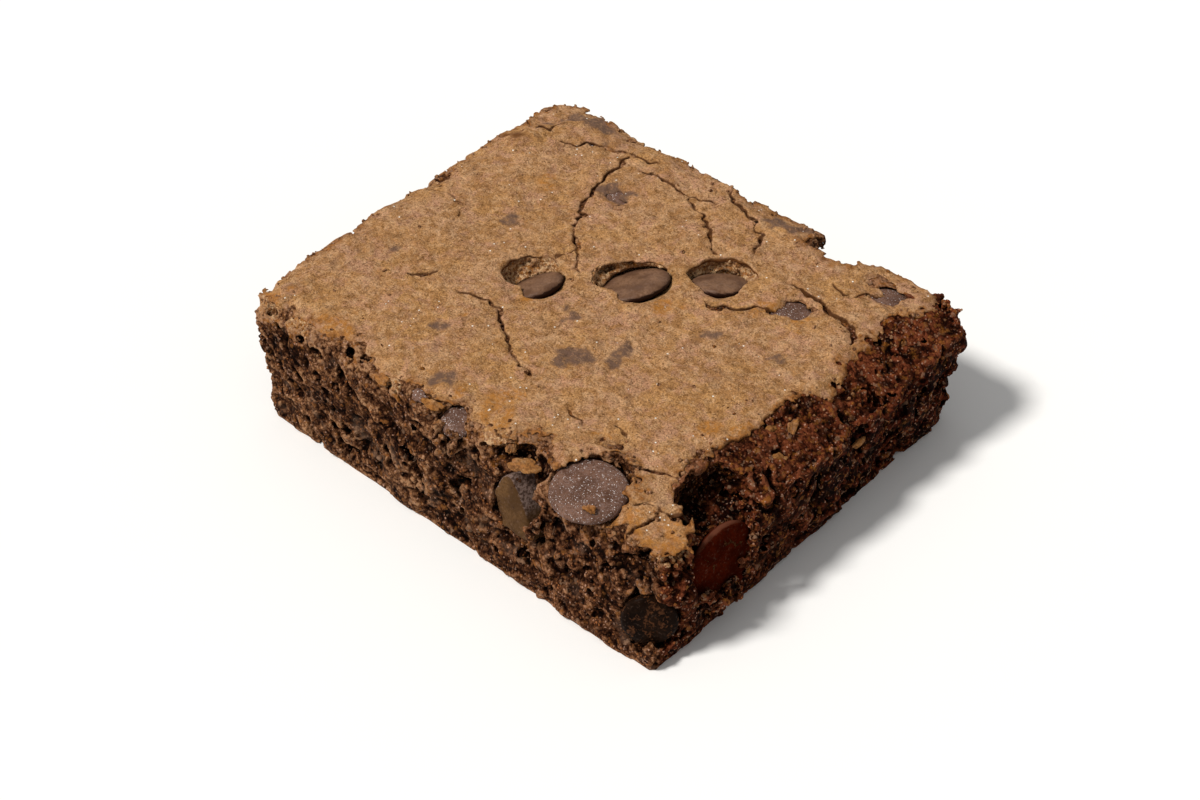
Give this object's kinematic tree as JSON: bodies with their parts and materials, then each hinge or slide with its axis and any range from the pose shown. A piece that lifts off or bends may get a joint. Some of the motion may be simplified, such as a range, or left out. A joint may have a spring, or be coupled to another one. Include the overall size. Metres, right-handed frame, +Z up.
{
  "type": "chocolate chip brownie",
  "caption": "Flat block of brownie cut from a sheet, with a thin cracked crust on top and chocolate chips set in its crust and cut sides.",
  "frame": {"origin": "middle of the box's footprint, on the flat base", "axes": "+X along the longer cut side, +Y along the shorter cut side, away from the chip-studded near side, +Z up out of the crust"},
  "size_m": [0.0814, 0.07, 0.0214],
  "materials": {
    "crumb": "matt, open and crumbly, under a tan papery crust",
    "chocolate": "satin, with a greyish bloom"
  },
  "bodies": {
    "root": {"brownie": "crumb", "chip_pit_left": "chocolate", "chip_pit_middle": "chocolate", "chip_pit_right": "chocolate", "chip_near_edge": "chocolate", "chip_cut_side": "chocolate", "chip_right_side": "chocolate", "chip_near_corner": "chocolate", "chip_far_corner": "chocolate", "chip_far_edge": "chocolate", "chip_under_crust": "chocolate", "chip_right_corner": "chocolate", "chip_crust_far": "chocolate", "chip_left_edge": "chocolate", "chip_back_side": "chocolate", "chip_back_corner": "chocolate", "chip_left_side": "chocolate"}
  },
  "joints": []
}
